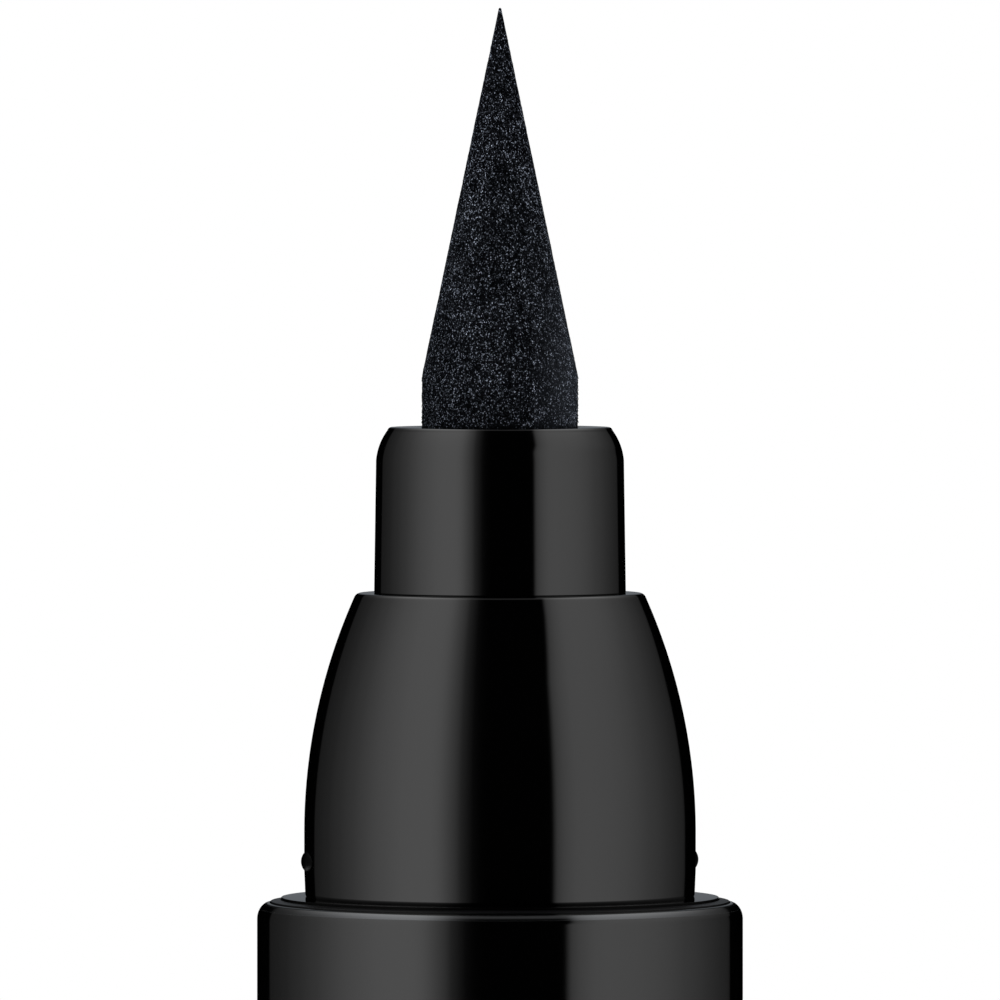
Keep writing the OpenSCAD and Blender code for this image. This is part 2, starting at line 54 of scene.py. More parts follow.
FULL = 2 * math.pi
RIGHT_ANGLE = 90


# Lengths in millimetres and counts, with the names and values of the part's source
nib_d = 3.21
nib_out = 8.62
nib_straight = 1.06
nib_point_r = 0.03
nib_end_bevel = 0.15
collar_base_d = 5.18
collar_d = 5.1
collar_top_d = 4.5
collar_bevel_h = 0.68
collar_bevel_bulge = 0.045
stem_wall = 0.37
channel_count = 4
channel_w = 0.5
channel_depth = 0.22
channel_recess = 1
nib_ledge_h = 0.55
stem_bead = 0.12
dome_h = 6.25
dome_d = 8.06
dome_arc_r = 11.94
dome_foot_h = 1.31
dome_edge_r = 0.14
foot_relief = 0.05
nub_proud = 0.12
nub_h = 0.43
nub_up = 0.78
nub_turn = 9
flange_h = 1.1
flange_fall = 0.01
tube_wall = 1
chamber_up = 2.6
oring_t = 0.5
oring_up = 2
tank_wall = 0.8
lip_wall = 0.2
lip_drop = 0.06
lip_fall = 0.03
barrel_d = 10
sleeve_wall = 0.26
rim_drop = 0.12
wick_d = 1.6
core_d = 3.2
wick_in_nib = 3
tail_flange_h = 1.2
spigot_edge_r = 0.5
spigot_wall = 1.3
plug_floor_h = 1.2
plug_ribs = 3
cap_end_t = 0.5
cap_edge_r = 0.4
ledge_h = 0.6
ledge_in = 0.38
liner_wall = 0.46
snap_groove = 0.08
snap_groove_h = 0.5
wire_t = 0.4
spring_d = 5.2
spring_turns = 10
fit_gap = 0.02
run_gap = 0.08
rest_gap = 0.05
lead_in = 0.2
seal_rib_r = 0.2
rib_proud = 0.1
edge_bevel = 0.1

# Shares of a piece's own sizes
ledge_bore_share = 1 / 3
collar_corner_share = 0.1
corner_bulge_share = 0.2
mouth_bevel_share = 0.1

# Trims that the part's source doesn't have: the dome's foot, the snap nubs and the barrel's rim
foot_taper = 0.02
foot_round = 0.15
undercut = 30
undercut_end = 2
nub_spread = 2.2
nub_trim = 0.025
nub_sink = 0.04
rim_h = 0.34
bare_rim_h = 0.13
bare_rim_top = 0.03

# Small roundings that every moulded or drawn edge has, and the point beside each that holds the flat
edge_r = 0.04
fine_edge_r = 0.02
seam_edge_r = 0.008
hold = 0.012

# Steps of the bend at the wire's ends, and the row that ends the channels
bend_steps = 4
channel_step = 0.01

# Turns in degrees: a corner under the first is straight, and one under the second stays unrounded
straight_turn = 0.5
soft_turn = 13

# Points closer than the first are merged, and those closer than the second count as the same
weld = 0.0004
near = 0.002

# Place of the satin finish among a piece's materials
SATIN_FACE = 1

# Radii
nib_r = nib_d / 2
stem_r = nib_r + channel_depth + stem_wall
dome_r = dome_d / 2
barrel_r = barrel_d / 2
sleeve_bore_r = barrel_r - sleeve_wall
tank_r = sleeve_bore_r - fit_gap
tank_bore_r = tank_r - tank_wall
lip_bore_r = tank_r - lip_wall
flange_r = lip_bore_r - fit_gap
wick_r = wick_d / 2
wick_bore_r = wick_r + run_gap
mouth_r = dome_r + nub_proud + rest_gap
liner_r = sleeve_bore_r - fit_gap
guide_r = liner_r - liner_wall
ledge_r = guide_r - ledge_in
in_tank_r = tank_bore_r - fit_gap
tube_bore_r = in_tank_r - tube_wall
nose_r = (core_d / 2 + wick_bore_r) / 2

# Heights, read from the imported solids
tip_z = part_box("felt_nib")[1].z / MM
nib_end_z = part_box("felt_nib")[0].z / MM
collar_top_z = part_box("nib_holder")[1].z / MM
stem_end_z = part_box("nib_holder")[0].z / MM
dome_top_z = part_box("front_section")[1].z / MM
tube_end_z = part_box("front_section")[0].z / MM
barrel_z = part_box("outer_barrel")[0].z / MM
shoulder_z = dome_top_z - dome_h
chamber_z = shoulder_z + chamber_up
tail_z = barrel_z - tail_flange_h
plug_top_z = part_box("tail_plug")[1].z / MM
spigot_end_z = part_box("tail_plug")[0].z / MM
cap_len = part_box("cap_shell")[1].z / MM
liner_low_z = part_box("cap_liner")[0].z / MM
inner_top_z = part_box("inner_cap")[1].z / MM
ledge_z = inner_top_z + rest_gap
spring_low_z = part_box("cap_spring")[0].z / MM
spring_high_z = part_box("cap_spring")[1].z / MM


# Outlines of turned pieces: points of radius and height

def arc(middle, r, start, stop, steps):
    """Points of an arc about a middle, from one angle to another, in degrees."""
    points = []
    for i in range(steps + 1):
        a = math.radians(start + (stop - start) * i / steps)
        points.append((middle[0] + r * math.cos(a), middle[1] + r * math.sin(a)))
    return points


def bulge(a, b, rise, steps):
    """Points of a shallow arc from a to b that swells to the right of the way."""
    a, b = Vector(a), Vector(b)
    chord = (b - a).length
    r = (chord * chord / 4 + rise * rise) / (2 * rise)
    side = Vector((b.y - a.y, a.x - b.x)) / chord
    middle = (a + b) / 2 - side * (r - rise)
    start = math.degrees(math.atan2(a.y - middle.y, a.x - middle.x))
    stop = math.degrees(math.atan2(b.y - middle.y, b.x - middle.x))
    return arc(middle, r, start, stop, steps)


def eased(outline, r=edge_r, steps=5, sharp=None):
    """A closed outline with each clear corner rounded but a sharp one, and its flats held flat."""
    points = [Vector(p) for p in outline]
    done = []
    for i, here in enumerate(points):
        before = points[i - 1] - here
        after = points[(i + 1) % len(points)] - here
        turn = math.pi - before.angle(after)
        kept = here.x < hold or tuple(outline[i]) == sharp
        if kept or turn < math.radians(straight_turn):
            done.append(here)
            continue
        if turn < math.radians(soft_turn):
            if before.length > 8 * hold and before.length > 2 * after.length:
                done.append(here + before.normalized() * hold)
            done.append(here)
            if after.length > 8 * hold and after.length > 2 * before.length:
                done.append(here + after.normalized() * hold)
            continue
        reach = min(r * math.tan(turn / 2), 0.4 * before.length, 0.4 * after.length)
        enter = here + before.normalized() * reach
        leave = here + after.normalized() * reach
        grip = min(hold, reach / 2)
        done.append(enter + before.normalized() * grip)
        for k in range(steps + 1):
            t = k / steps
            done.append(enter * (1 - t) ** 2 + here * 2 * t * (1 - t) + leave * t * t)
        done.append(leave + after.normalized() * grip)
    return [(p.x, p.y) for p in done]


def finish_mesh(work, name, material, body, crease=None):
    """Merge, turn the faces outwards, keep a ring of edges sharp, and make the piece on its body."""
    bmesh.ops.remove_doubles(work, verts=work.verts, dist=weld * MM)
    bmesh.ops.dissolve_degenerate(work, edges=work.edges, dist=weld / 2 * MM)
    bmesh.ops.recalc_face_normals(work, faces=work.faces)
    for face in work.faces:
        face.smooth = True
    if crease:
        ring_r, ring_z = crease
        for edge in work.edges:
            edge.smooth = any(
                abs(vert.co.xy.length / MM - ring_r) + abs(vert.co.z / MM - ring_z) > near
                for vert in edge.verts
            )
    mesh = bpy.data.meshes.new(name)
    work.to_mesh(mesh)
    work.free()
    piece = bpy.data.objects.new(name, mesh)
    bpy.context.scene.collection.objects.link(piece)
    mesh.materials.append(material)
    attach(piece, body)
    return piece


def spun(work, outline, steps=256, sectors=16, closed=True):
    """Turn an outline in millimetres once round the Z axis: first one sector, then copies of it."""
    verts = [work.verts.new((r * MM, 0, z * MM)) for r, z in outline]
    pairs = list(zip(verts, verts[1:]))
    if closed:
        pairs.append((verts[-1], verts[0]))
    edges = [work.edges.new(pair) for pair in pairs]
    sector = FULL / sectors
    bmesh.ops.spin(
        work, geom=verts + edges, cent=(0, 0, 0), axis=(0, 0, 1), angle=sector, steps=steps // sectors
    )
    bmesh.ops.spin(
        work, geom=work.verts[:] + work.edges[:] + work.faces[:], cent=(0, 0, 0), axis=(0, 0, 1),
        angle=FULL - sector, steps=sectors - 1, use_duplicate=True
    )
    bmesh.ops.remove_doubles(work, verts=work.verts, dist=weld * MM)


def snap_nubs(work, z):
    """A pair of round nubs on opposite sides, each cut off just inside the wall."""
    proud = nub_proud - nub_trim
    nub_r = (nub_h * nub_h / 4 + proud * proud) / (2 * proud)
    for side in (0, math.pi):
        ball = bmesh.new()
        bmesh.ops.create_uvsphere(ball, u_segments=40, v_segments=28, radius=nub_r * MM)
        bmesh.ops.scale(ball, verts=ball.verts, vec=(1, nub_spread, 1))
        bmesh.ops.translate(ball, verts=ball.verts, vec=((dome_r + proud - nub_r) * MM, 0, z * MM))
        bmesh.ops.bisect_plane(
            ball, geom=ball.verts[:] + ball.edges[:] + ball.faces[:],
            plane_co=((dome_r - edge_r) * MM, 0, z * MM), plane_no=(1, 0, 0), clear_inner=True
        )
        bmesh.ops.holes_fill(ball, edges=[e for e in ball.edges if e.is_boundary])
        turn = Matrix.Rotation(math.radians(nub_turn) + side, 4, "Z")
        bmesh.ops.transform(ball, matrix=turn, verts=ball.verts)
        for face in ball.faces:
            face.material_index = SATIN_FACE
        part = bpy.data.meshes.new("nub")
        ball.to_mesh(part)
        ball.free()
        work.from_mesh(part)
        bpy.data.meshes.remove(part)


def ribs(count, r, low, high):
    """Outline points of half-round sealing ribs spread over a length, from low to high."""
    points = []
    pitch = (high - low) / (count + 1)
    reach = math.degrees(math.acos(1 - rib_proud / seal_rib_r))
    for i in range(1, count + 1):
        points += arc((r - seal_rib_r, low + i * pitch), seal_rib_r, -reach, reach, 8)
    return points


# Materials

def material_nodes(name, colour, roughness, **inputs):
    """A material with its surface shader, and its own object coordinates."""
    material = bpy.data.materials.new(name)
    material.use_nodes = True
    material.diffuse_color = (*colour, 1)
    tree = material.node_tree
    shader = tree.nodes["Principled BSDF"]
    shader.inputs["Base Color"].default_value = (*colour, 1)
    shader.inputs["Roughness"].default_value = roughness
    for key, value in inputs.items():
        shader.inputs[key.replace("_", " ")].default_value = value
    coords = tree.nodes.new("ShaderNodeTexCoord")
    return material, tree, shader, coords.outputs["Object"]


def node(tree, kind, **settings):
    """A node with its settings, and with its inputs filled or linked by name."""
    made = tree.nodes.new("ShaderNode" + kind)
    inputs = settings.pop("inputs", {})
    for key, value in settings.items():
        setattr(made, key, value)
    for key, value in inputs.items():
        if isinstance(value, bpy.types.NodeSocket):
            tree.links.new(value, made.inputs[key])
        else:
            made.inputs[key].default_value = value
    return made


def stretched(tree, coords, scale):
    """Coordinates scaled along each axis, in cycles to the millimetre."""
    made = node(tree, "Mapping", inputs={"Vector": coords, "Scale": [s / MM for s in scale]})
    return made.outputs["Vector"]


def grain(tree, coords, scale, detail=3, roughness=0.5):
    """A noise pattern with so many cycles to the millimetre along each axis."""
    made = node(tree, "TexNoise", inputs={
        "Vector": stretched(tree, coords, scale), "Scale": 1, "Detail": detail, "Roughness": roughness
    })
    return made.outputs["Fac"]


def ranged(tree, value, low, high, to_low, to_high):
    """A value moved from one range to another, held at its ends."""
    made = node(tree, "MapRange", inputs={
        "Value": value, "From Min": low, "From Max": high, "To Min": to_low, "To Max": to_high
    })
    return made.outputs["Result"]


def sums(tree, operation, *values):
    """One arithmetic step."""
    return node(tree, "Math", operation=operation, inputs=dict(enumerate(values))).outputs[0]


def tinted(tree, factor, first, second):
    """A colour between two colours."""
    made = node(tree, "Mix", data_type="RGBA")
    for key, value in ((0, factor), (6, first), (7, second)):
        if isinstance(value, bpy.types.NodeSocket):
            tree.links.new(value, made.inputs[key])
        else:
            made.inputs[key].default_value = value if key == 0 else (*value, 1)
    return made.outputs[2]


def bumped(tree, shader, height, depth, strength=1):
    """Give the surface a fine relief of a depth in millimetres."""
    made = node(tree, "Bump", inputs={"Height": height, "Distance": depth * MM, "Strength": strength})
    tree.links.new(made.outputs["Normal"], shader.inputs["Normal"])
    return made.outputs["Normal"]


def gloss_black(name, colour, low, high, **inputs):
    """Polished black: nearly no colour of its own, with faint polish marks and waviness."""
    material, tree, shader, coords = material_nodes(name, colour, low, IOR=1.5, **inputs)
    polish = grain(tree, coords, (0.9, 0.9, 0.5), detail=4)
    rough = ranged(tree, polish, 0.35, 0.75, low, high)
    tree.links.new(rough, shader.inputs["Roughness"])
    shade = tinted(tree, grain(tree, coords, (0.25, 0.25, 0.2)), colour, [c * 1.6 for c in colour])
    tree.links.new(shade, shader.inputs["Base Color"])
    bumped(tree, shader, grain(tree, coords, (0.35, 0.35, 0.12), detail=1), 0.0006)
    return material


def lacquered():
    """Gloss black lacquer on a metal sleeve, polished thin along the rim, where the metal shows."""
    material = gloss_black("black_lacquer", (0.0004, 0.0004, 0.00045), 0.045, 0.075)
    tree = material.node_tree
    shader = tree.nodes["Principled BSDF"]
    coords = tree.nodes["Texture Coordinate"].outputs["Object"]
    height = node(tree, "SeparateXYZ", inputs={0: coords}).outputs["Z"]
    rim_z = shoulder_z - rim_drop
    bare = 1
    for edge_z, fade in ((rim_z - bare_rim_h, 0.005), (rim_z - bare_rim_top, -0.005)):
        inside = ranged(tree, height, (edge_z - fade) * MM, (edge_z + fade) * MM, 0, 1)
        bare = sums(tree, "MULTIPLY", bare, inside)
    for key, worn in (("Base Color", (0.082, 0.084, 0.087)), ("Roughness", (0.12, 0.12, 0.12))):
        plain = shader.inputs[key].links[0].from_socket
        tree.links.new(tinted(tree, bare, plain, worn), shader.inputs[key])
    tree.links.new(bare, shader.inputs["Metallic"])
    return material


def moulded(name, colour, roughness, spread=0.12, relief=0.003, **inputs):
    """A plain moulding with a fine spark-eroded grain and faint flow marks."""
    material, tree, shader, coords = material_nodes(name, colour, roughness, **inputs)
    flow = grain(tree, coords, (0.3, 0.3, 0.08), detail=4)
    darker = [c * (1 - spread) for c in colour]
    paler = [min(1, c * (1 + spread)) for c in colour]
    tree.links.new(tinted(tree, flow, darker, paler), shader.inputs["Base Color"])
    rough = ranged(tree, flow, 0.3, 0.7, roughness - 0.06, roughness + 0.08)
    tree.links.new(rough, shader.inputs["Roughness"])
    bumped(tree, shader, grain(tree, coords, (9, 9, 9), detail=2), relief)
    return material


def fibrous(name, dark, light, roughness, **inputs):
    """Pressed fibres that lie along the pen, soaked in ink."""
    material, tree, shader, coords = material_nodes(name, dark, roughness, **inputs)
    strands = grain(tree, coords, (16, 16, 2.5), detail=3)
    shade = tinted(tree, ranged(tree, strands, 0.45, 0.75, 0, 1), dark, light)
    tree.links.new(shade, shader.inputs["Base Color"])
    bumped(tree, shader, strands, 0.012)
    return material


def drawn_metal(name, colour, low, high, along):
    """Bright metal with fine marks along the way it was drawn or rolled."""
    material, tree, shader, coords = material_nodes(name, colour, low, Metallic=1.0)
    marks = grain(tree, coords, along, detail=3)
    tree.links.new(ranged(tree, marks, 0.3, 0.7, low, high), shader.inputs["Roughness"])
    shade = tinted(tree, marks, [c * 0.86 for c in colour], colour)
    tree.links.new(shade, shader.inputs["Base Color"])
    bumped(tree, shader, marks, 0.002)
    return material


def felt():
    """The nib: black with ink and crumbly, its fibre ends dense specks of painted glints in its colour."""
    black, pale = (0.0006, 0.0007, 0.0009), (0.72, 0.81, 1.0)
    material, tree, shader, coords = material_nodes("inked_felt", black, 0.7)
    shader.inputs["Specular IOR Level"].default_value = 0
    ends = node(tree, "TexVoronoi", inputs={
        "Vector": stretched(tree, coords, (64, 64, 50)), "Scale": 1, "Randomness": 1
    })
    parts = node(tree, "SeparateColor", inputs={"Color": ends.outputs["Color"]})
    # Painted glints: rare bright cells of the pattern put the fibre ends' glints into the base colour
    painted_glints = sums(tree, "MULTIPLY", sums(tree, "POWER", parts.outputs["Red"], 20), 0.6)
    haze = sums(tree, "MULTIPLY", sums(tree, "POWER", parts.outputs["Green"], 3), 0.016)
    strands = ranged(tree, grain(tree, coords, (12, 12, 2.5), detail=2), 0.3, 0.7, 0.45, 1.55)
    patches = ranged(tree, grain(tree, coords, (2.2, 2.2, 1.6), detail=2), 0.35, 0.65, 0.7, 1.3)
    level = sums(tree, "MULTIPLY", sums(tree, "ADD", painted_glints, haze), sums(tree, "MULTIPLY", strands, patches))
    place = node(tree, "SeparateXYZ", inputs={0: coords})
    # Painted light: the felt's right side is made paler, most near the collar and fading out towards the
    # point
    painted_right_light = sums(
        tree, "MULTIPLY", ranged(tree, place.outputs["X"], 0.6 * MM, 1.45 * MM, 0, 0.026),
        ranged(tree, place.outputs["Z"], (collar_top_z + 0.1) * MM, (collar_top_z + 4.5) * MM, 1, 0)
    )
    # Painted shade: the felt's left side is made darker
    level = sums(tree, "MULTIPLY", level, ranged(tree, place.outputs["X"], -1.5 * MM, -0.8 * MM, 0.72, 1))
    # The felt's pattern is plain black below the collar's top and fades in just above it
    over_collar = ranged(tree, place.outputs["Z"], (collar_top_z - 0.03) * MM, (collar_top_z + 0.06) * MM, 0, 1)
    level = sums(tree, "MULTIPLY", sums(tree, "ADD", level, painted_right_light), over_collar)
    tree.links.new(tinted(tree, level, black, pale), shader.inputs["Base Color"])
    crumbs = grain(tree, coords, (19, 19, 14), detail=2, roughness=0.65)
    tree.links.new(ranged(tree, crumbs, 0.3, 0.7, 0.8, 0.6), shader.inputs["Roughness"])
    bumped(tree, shader, crumbs, 0.02)
    return material


black_plastic = gloss_black("polished_black", (0.0004, 0.0004, 0.00045), 0.045, 0.075)
black_lacquer = lacquered()
satin_black = moulded(
    "satin_black", (0.0004, 0.0004, 0.00045), 0.3, relief=0.0005, Specular_IOR_Level=0.03
)
tank_plastic = moulded(
    "dark_moulding", (0.004, 0.004, 0.0045), 0.32, relief=0.001, Specular_IOR_Level=0.1
)
natural_plastic = moulded(
    "natural_moulding", (0.62, 0.64, 0.65), 0.42, spread=0.05,
    Subsurface_Weight=0.25, Subsurface_Scale=0.6 * MM
)
inner_plastic = moulded(
    "milky_moulding", (0.75, 0.75, 0.72), 0.4, spread=0.04,
    Subsurface_Weight=0.35, Subsurface_Scale=0.8 * MM
)
seal_rubber = moulded("satin_rubber", (0.02, 0.02, 0.021), 0.55, spread=0.25, relief=0.004)
felt_material = felt()
wick_material = fibrous("inked_wick", (0.006, 0.007, 0.009), (0.035, 0.038, 0.045), 0.8)
steel = drawn_metal("polished_steel", (0.62, 0.62, 0.64), 0.06, 0.16, (3, 3, 3))
wire_steel = drawn_metal("drawn_wire", (0.55, 0.55, 0.57), 0.18, 0.34, (9, 9, 9))

for name, material in (
    ("front_oring", seal_rubber), ("relay_wick", wick_material), ("ink_collector", natural_plastic),
    ("ball_seat", natural_plastic), ("mixing_ball", steel), ("inner_cap", inner_plastic),
    ("spring_seat", natural_plastic), ("felt_nib", felt_material), ("nib_holder", black_plastic),
    ("front_section", black_plastic), ("tail_plug", black_plastic), ("outer_barrel", black_lacquer),
    ("cap_shell", black_lacquer), ("ink_tank", tank_plastic), ("cap_liner", tank_plastic),
    ("cap_spring", wire_steel),
):
    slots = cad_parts[name].material_slots
    if slots:
        slots[0].material = material
    else:
        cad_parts[name].data.materials.append(material)


# Felt nib

nib_steps = 420
nib_row = 0.0405
nib_root = 0.3
felt_rough = 0.011
felt_sunk = 0.35
calm_point_r = 0.25
tuft_count = 5200
tuft_low = 0.03
tuft_bare_tip = 0.25
tuft_len = (0.05, 0.17)
tuft_r = (0.0035, 0.007)
tuft_tip_share = 0.35
tuft_lean = 0.35
tuft_lift = (-0.22, -0.1)
tuft_sunk = 0.004
tuft_least_r = 0.12
tuft_batch = 100


def nib_radius(z):
    """Radius of the nib's smooth form at a height."""
    cone_z = collar_top_z + nib_straight
    if z <= cone_z:
        return nib_r
    point_z = tip_z - nib_point_r
    rise = point_z - cone_z
    slope = math.atan(nib_r / rise) - math.asin(nib_point_r / math.hypot(nib_r, rise))
    tangent_z = point_z + nib_point_r * math.sin(slope)
    tangent_r = nib_point_r * math.cos(slope)
    if z < tangent_z:
        return tangent_r + (nib_r - tangent_r) * (tangent_z - z) / (tangent_z - cone_z)
    return math.sqrt(max(nib_point_r ** 2 - (z - point_z) ** 2, 0))


def fibre_height(x, y, z):
    """Relief of the pressed fibres, from -1 to 1, drawn out along the pen."""
    strand = noise.noise(Vector((x * 13, y * 13, z * 3.2)))
    lump = noise.noise(Vector((x * 24 + 7, y * 24 - 3, z * 15)))
    broad = noise.noise(Vector((x * 3, y * 3, z * 1.2 + 11)))
    return 0.5 * strand + 0.45 * lump + 0.25 * broad


def make_nib():
    work = bmesh.new()
    hole_r = wick_r + fit_gap
    hole_top = nib_end_z + wick_in_nib + fit_gap
    low_z = collar_top_z - nib_root
    outline = [(0, hole_top), (hole_r, hole_top), (hole_r, nib_end_z)]
    outline += [(nib_r - nib_end_bevel, nib_end_z), (nib_r, nib_end_z + nib_end_bevel)]
    rows = round((tip_z - nib_point_r - low_z) / nib_row)
    for i in range(rows + 1):
        z = low_z + (tip_z - nib_point_r - low_z) * i / rows
        outline.append((nib_radius(z), z))
    outline += arc((0, tip_z - nib_point_r), nib_point_r, 12, RIGHT_ANGLE, 4)
    outline[-1] = (0, tip_z)
    spun(work, outline, steps=nib_steps, sectors=20, closed=False)
    for vert in work.verts:
        x, y, z = vert.co / MM
        if z < low_z + near:
            continue
        r = math.hypot(x, y)
        calm = felt_rough * min(1, r / calm_point_r) * min(1, (z - low_z) / nib_root)
        if r > 0:
            scale = 1 + calm * (fibre_height(x, y, z) - felt_sunk) / r
            vert.co.x *= scale
            vert.co.y *= scale
    nib = finish_mesh(work, "nib_felt", felt_material, "pen")
    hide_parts("felt_nib")
    return nib


def make_tufts():
    """Fine fibre ends that stand off the felt, mostly along the pen."""
    random.seed(41)
    tufts = bpy.data.meshes.new("nib_fibres")
    work = bmesh.new()
    batch = bmesh.new()
    for count in range(tuft_count):
        z = collar_top_z + tuft_low + (nib_out - tuft_bare_tip) * (1 - math.sqrt(random.random()))
        around = random.uniform(0, FULL)
        length = random.uniform(*tuft_len)
        thick = random.uniform(*tuft_r)
        lean = random.gauss(0, tuft_lean)
        lift = random.uniform(*tuft_lift)
        r = nib_radius(z) - tuft_sunk
        if r > tuft_least_r:
            place = (
                Matrix.Rotation(around, 4, "Z")
                @ Matrix.Translation((r * MM, 0, z * MM))
                @ Matrix.Rotation(lift, 4, "Y")
                @ Matrix.Rotation(lean, 4, "X")
            )
            bmesh.ops.create_cone(
                batch, cap_ends=True, segments=3, radius1=thick * MM, radius2=tuft_tip_share * thick * MM,
                depth=length * MM, matrix=place
            )
        if count % tuft_batch == tuft_batch - 1:
            batch.to_mesh(tufts)
            work.from_mesh(tufts)
            batch.clear()
    batch.free()
    work.to_mesh(tufts)
    work.free()
    piece = bpy.data.objects.new("nib_fibres", tufts)
    bpy.context.scene.collection.objects.link(piece)
    tufts.materials.append(felt_material)
    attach(piece, "pen")


# Nib holder

def make_holder():
    """The collar round the nib and its stem, with fine ink channels down the bore."""
    work = bmesh.new()
    bore_r = nib_r + fit_gap
    ledge_bore_r = wick_bore_r + (nib_r - wick_bore_r) * ledge_bore_share
    bevel_z = collar_top_z - collar_bevel_h
    corner = collar_bevel_h * collar_corner_share
    bead_z = chamber_z - fit_gap
    bead_end_z = bead_z - 4 * stem_bead
    foot = (collar_d / 2, bevel_z)
    shelf = (collar_top_d / 2 + corner, collar_top_z - corner)
    top = (collar_top_d / 2, collar_top_z)
    outline = [
        (nose_r + fit_gap, stem_end_z), (stem_r - lead_in, stem_end_z), (stem_r, stem_end_z + lead_in),
        (stem_r, bead_end_z), (stem_r + stem_bead, bead_z - stem_bead), (stem_r + stem_bead, bead_z),
        (stem_r, bead_z), (stem_r, dome_top_z), (collar_base_d / 2, dome_top_z)
    ]
    outline += bulge(foot, shelf, collar_bevel_bulge, 16)
    outline += bulge(shelf, top, corner * corner_bulge_share, 5)[1:]
    recess_z = collar_top_z - channel_recess
    outline += [(bore_r, collar_top_z), (bore_r, recess_z), (bore_r, recess_z - channel_step)]
    outline += [(bore_r, nib_end_z)]
    outline += [(ledge_bore_r, nib_end_z), (ledge_bore_r, nib_end_z - nib_ledge_h)]
    outline += [(nose_r + fit_gap, nib_end_z - nib_ledge_h)]
    spun(work, eased(outline, fine_edge_r))
    half_w = channel_w / 2
    channel_turn = FULL / channel_count
    for vert in work.verts:
        x, y, z = vert.co / MM
        r = math.hypot(x, y)
        if z > recess_z - channel_step / 2 or r > bore_r + fine_edge_r:
            continue
        middle = round(math.atan2(y, x) / channel_turn) * channel_turn
        aside = abs(r * math.sin(math.atan2(y, x) - middle))
        if aside < half_w:
            grow = (nib_r + channel_depth) / r
            vert.co.x *= grow
            vert.co.y *= grow
    holder = finish_mesh(work, "nib_collar", black_plastic, "pen")
    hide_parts("nib_holder")


# Front section

def make_front():
    work = bmesh.new()
    arc_z = shoulder_z + dome_foot_h
    arc_middle = (dome_r - dome_arc_r, arc_z)
    top_angle = math.degrees(math.asin((dome_h - dome_foot_h - dome_edge_r) / (dome_arc_r - dome_edge_r)))
    middle_r = dome_arc_r - dome_edge_r
    edge_middle = (
        arc_middle[0] + middle_r * math.cos(math.radians(top_angle)),
        arc_middle[1] + middle_r * math.sin(math.radians(top_angle))
    )
    relief_z = shoulder_z + nub_up - nub_h / 2
    groove_r = in_tank_r - oring_t
    oring_z = tube_end_z + oring_up
    groove_h = oring_t + 2 * run_gap
    bore_r = stem_r + fit_gap
    low = [
        (tube_bore_r, tube_end_z), (in_tank_r - lead_in, tube_end_z), (in_tank_r, tube_end_z + lead_in),
        (in_tank_r, oring_z - groove_h / 2), (groove_r, oring_z - groove_h / 2),
        (groove_r, oring_z + groove_h / 2), (in_tank_r, oring_z + groove_h / 2),
        (in_tank_r, shoulder_z - flange_h), (flange_r, shoulder_z - flange_h)
    ]
    flange_z = shoulder_z - flange_fall / 2 - flange_h / 2
    flange_w = flange_r - dome_r
    flange_arc_r = (flange_w ** 2 + flange_fall ** 2) / (2 * flange_fall)
    flange_angle = math.degrees(math.asin(flange_w / flange_arc_r))
    low += arc((dome_r, shoulder_z - flange_arc_r), flange_arc_r, RIGHT_ANGLE - flange_angle, RIGHT_ANGLE, 10)
    foot_r = dome_r - foot_taper
    crease = (foot_r - foot_round * (1 - math.cos(math.radians(undercut))), shoulder_z)
    foot_middle = (foot_r - foot_round, shoulder_z + foot_round * math.sin(math.radians(undercut)))
    low += [crease] + arc(foot_middle, foot_round, -undercut, -undercut_end, 10)[1:]
    low += [(dome_r, relief_z)]
    dome = arc(arc_middle, dome_arc_r, 0, top_angle, 64)
    dome += arc(edge_middle, dome_edge_r, top_angle, RIGHT_ANGLE, 12)[1:]
    dome += [(bore_r, dome_top_z), (bore_r, chamber_z), (tube_bore_r, chamber_z)]
    spun(work, eased(low + dome, seam_edge_r, sharp=crease))
    for face in work.faces:
        middle = face.calc_center_median() / MM
        if middle.xy.length > flange_r - 2 * seam_edge_r and abs(middle.z - flange_z) < flange_h / 2:
            face.material_index = SATIN_FACE
    snap_nubs(work, shoulder_z + nub_up - nub_sink)
    front = finish_mesh(work, "front_dome", black_plastic, "pen", crease)
    front.data.materials.append(satin_black)
    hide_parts("front_section")


# Ink tank

def make_tank():
    work = bmesh.new()
    lip_z = shoulder_z - lip_drop
    ledge_top_z = shoulder_z - flange_h - fit_gap
    outline = [
        (tank_bore_r, barrel_z), (tank_r, barrel_z), (tank_r, lip_z - lip_fall),
        (lip_bore_r, lip_z), (lip_bore_r, ledge_top_z), (tank_bore_r, ledge_top_z)
    ]
    spun(work, eased(outline, seam_edge_r))
    tank = finish_mesh(work, "tank_tube", tank_plastic, "pen")
    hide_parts("ink_tank")


# Outer barrel

def make_barrel():
    work = bmesh.new()
    rim_z = shoulder_z - rim_drop
    rim = [
        (r, rim_z - (rim_z - z) * rim_h / sleeve_wall)
        for r, z in arc((sleeve_bore_r, rim_z - sleeve_wall), sleeve_wall, 0, RIGHT_ANGLE, 16)
    ]
    spun(work, eased([(sleeve_bore_r, barrel_z), (barrel_r, barrel_z)] + rim, fine_edge_r))
    barrel = finish_mesh(work, "barrel_sleeve", black_lacquer, "pen")
    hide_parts("outer_barrel")


# Tail plug

